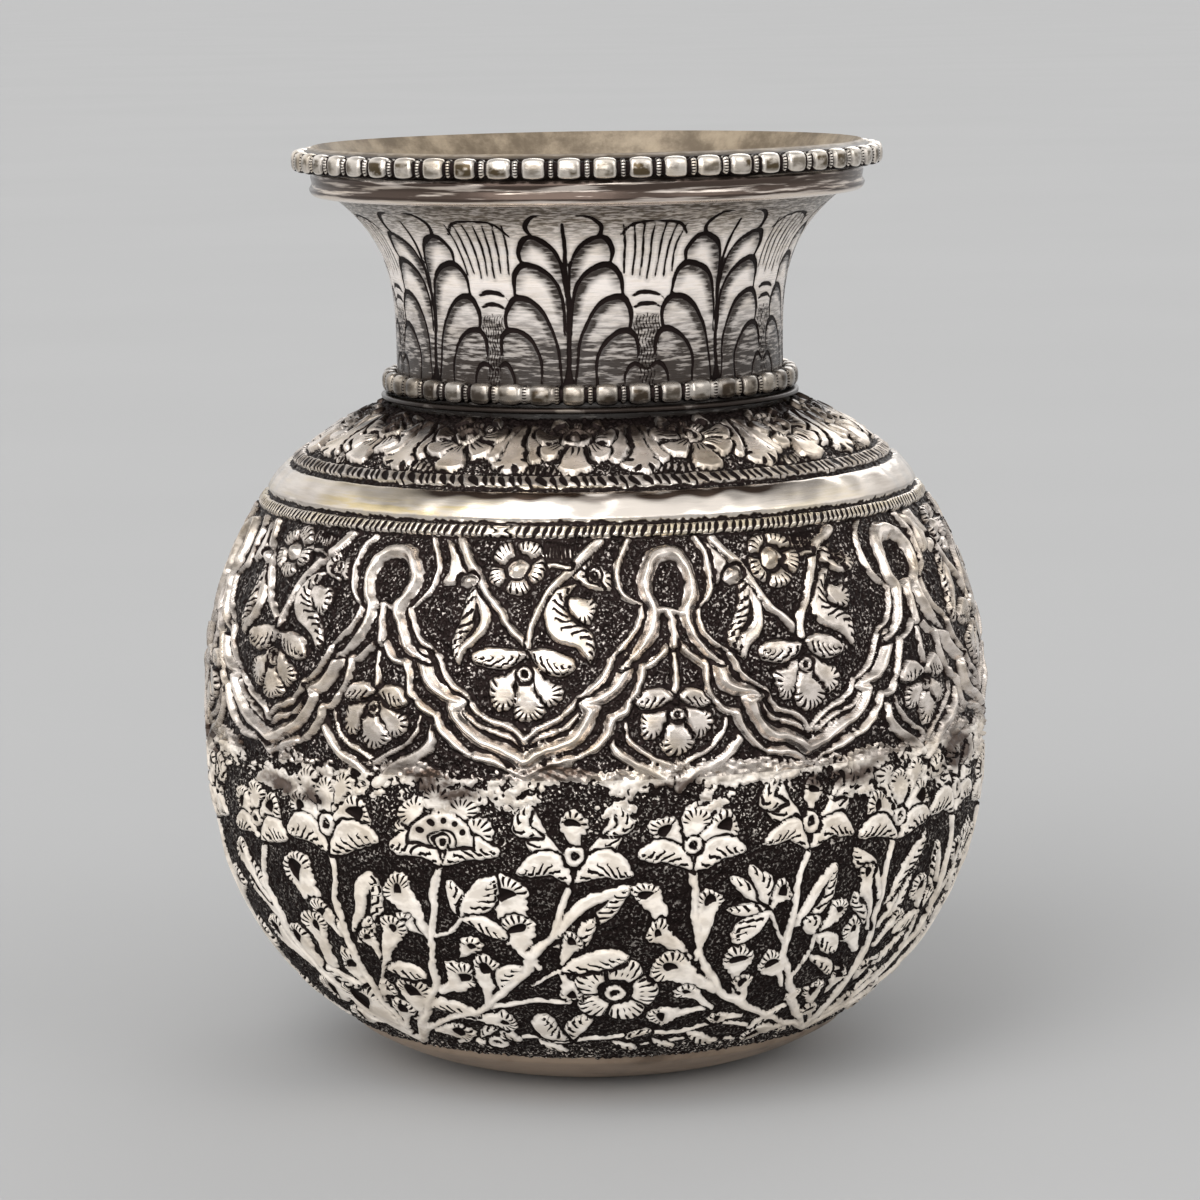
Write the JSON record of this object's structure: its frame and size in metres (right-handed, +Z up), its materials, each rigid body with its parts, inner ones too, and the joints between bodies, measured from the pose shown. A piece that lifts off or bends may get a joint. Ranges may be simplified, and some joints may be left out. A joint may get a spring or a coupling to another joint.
{
  "type": "kalash pot",
  "caption": "Round-bellied silvered metal water pot with a flared neck, beaded rings and chased floral ornament, used in worship.",
  "frame": {"origin": "centre of the flat face that the pot stands on", "axes": "+Z up along the pot's axis, -Y towards the viewer of the front"},
  "size_m": [0.1288, 0.1288, 0.15],
  "materials": {
    "chased_silver": "polished relief with dark oxide left in the recesses",
    "polished_silver": "polished, darkened between the beads",
    "unpolished_silver": "unpolished and tarnished brown"
  },
  "bodies": {
    "root": {"base_plate": "unpolished_silver", "lower_bowl": "chased_silver", "upper_bowl": "chased_silver", "neck_tube": "chased_silver", "neck_seat_ring": "polished_silver", "neck_bead_ring": "polished_silver", "rim_moulding": "polished_silver", "rim_bead_ring": "polished_silver"}
  },
  "joints": []
}
